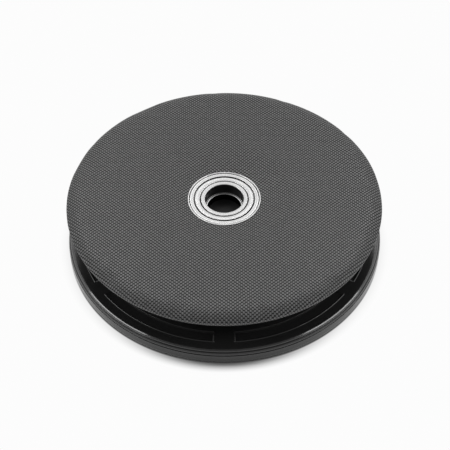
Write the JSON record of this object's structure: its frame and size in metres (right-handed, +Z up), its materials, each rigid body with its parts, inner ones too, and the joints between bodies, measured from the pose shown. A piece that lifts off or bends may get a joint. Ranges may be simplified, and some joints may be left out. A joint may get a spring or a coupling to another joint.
{
  "type": "swivel seat cushion",
  "caption": "Round padded seat in woven cloth that turns on a flat black moulded base, guided by a shielded ball bearing set flush in its centre",
  "frame": {"origin": "on the turning axis, at the floor under the rubber feet", "axes": "+Z up along the turning axis, -Y towards the viewer of the picture, +X to that viewer's right; the base's front land between two pockets is on -Y"},
  "size_m": [0.411, 0.411, 0.0824],
  "materials": {
    "woven_cloth": "dark grey woven cloth with a fine even weave",
    "foam": null,
    "board_plastic": "moulded, fine matt texture",
    "black_plastic": "moulded black, satin",
    "polished_steel": "ground and polished bearing steel",
    "race_steel": "pressed steel",
    "cage_brass": "pressed strip",
    "cage_plastic": "moulded, pale",
    "zinc_plate": "zinc plated",
    "blackened_steel": "blackened, satin",
    "foot_rubber": "matt black"
  },
  "bodies": {
    "base": {"base_cover": "black_plastic", "base_pan": "black_plastic", "spindle": "blackened_steel", "bore_plug": "black_plastic", "inner_race": "polished_steel", "grub_screw_1": "blackened_steel", "grub_screw_2": "blackened_steel", "lower_turntable_race": "race_steel", "spindle_bolt_1": "zinc_plate", "spindle_bolt_2": "zinc_plate", "spindle_bolt_3": "zinc_plate", "spindle_bolt_4": "zinc_plate", "pan_screw_1": "zinc_plate", "pan_screw_2": "zinc_plate", "pan_screw_3": "zinc_plate", "pan_screw_4": "zinc_plate", "pan_screw_5": "zinc_plate", "pan_screw_6": "zinc_plate", "foot_1": "foot_rubber", "foot_2": "foot_rubber", "foot_3": "foot_rubber", "foot_4": "foot_rubber", "foot_5": "foot_rubber", "foot_6": "foot_rubber"},
    "seat": {"seat_cover": "woven_cloth", "foam_pad": "foam", "seat_board": "board_plastic", "hem_ring": "black_plastic", "bearing_housing": "polished_steel", "housing_screw_1": "zinc_plate", "housing_screw_2": "zinc_plate", "housing_screw_3": "zinc_plate", "housing_screw_4": "zinc_plate", "outer_race": "polished_steel", "shield_upper": "polished_steel", "shield_lower": "polished_steel", "upper_turntable_race": "race_steel"},
    "bearing_ball_set": {"bearing_cage": "cage_brass", "bearing_ball_1": "polished_steel", "bearing_ball_2": "polished_steel", "bearing_ball_3": "polished_steel", "bearing_ball_4": "polished_steel", "bearing_ball_5": "polished_steel", "bearing_ball_6": "polished_steel", "bearing_ball_7": "polished_steel", "bearing_ball_8": "polished_steel", "bearing_ball_9": "polished_steel", "bearing_ball_10": "polished_steel"},
    "turntable_ball_set": {"turntable_cage": "cage_plastic", "turntable_ball_1": "polished_steel", "turntable_ball_2": "polished_steel", "turntable_ball_3": "polished_steel", "turntable_ball_4": "polished_steel", "turntable_ball_5": "polished_steel", "turntable_ball_6": "polished_steel", "turntable_ball_7": "polished_steel", "turntable_ball_8": "polished_steel", "turntable_ball_9": "polished_steel", "turntable_ball_10": "polished_steel"}
  },
  "joints": [
    {"name": "seat_swivel", "type": "hinge", "parent": "base", "child": "seat", "pos_m": [0, 0, 0.046], "axis": [0, 0, 1], "continuous": true},
    {"name": "bearing_ball_set_turn", "type": "hinge", "parent": "base", "child": "bearing_ball_set", "pos_m": [0, 0, 0.068], "axis": [0, 0, 1], "continuous": true},
    {"name": "turntable_ball_set_turn", "type": "hinge", "parent": "base", "child": "turntable_ball_set", "pos_m": [0, 0, 0.046], "axis": [0, 0, 1], "continuous": true}
  ],
  "couplings": [
    {"joint": "bearing_ball_set_turn", "follows": "seat_swivel", "ratio": 0.5907},
    {"joint": "turntable_ball_set_turn", "follows": "seat_swivel", "ratio": 0.5}
  ]
}
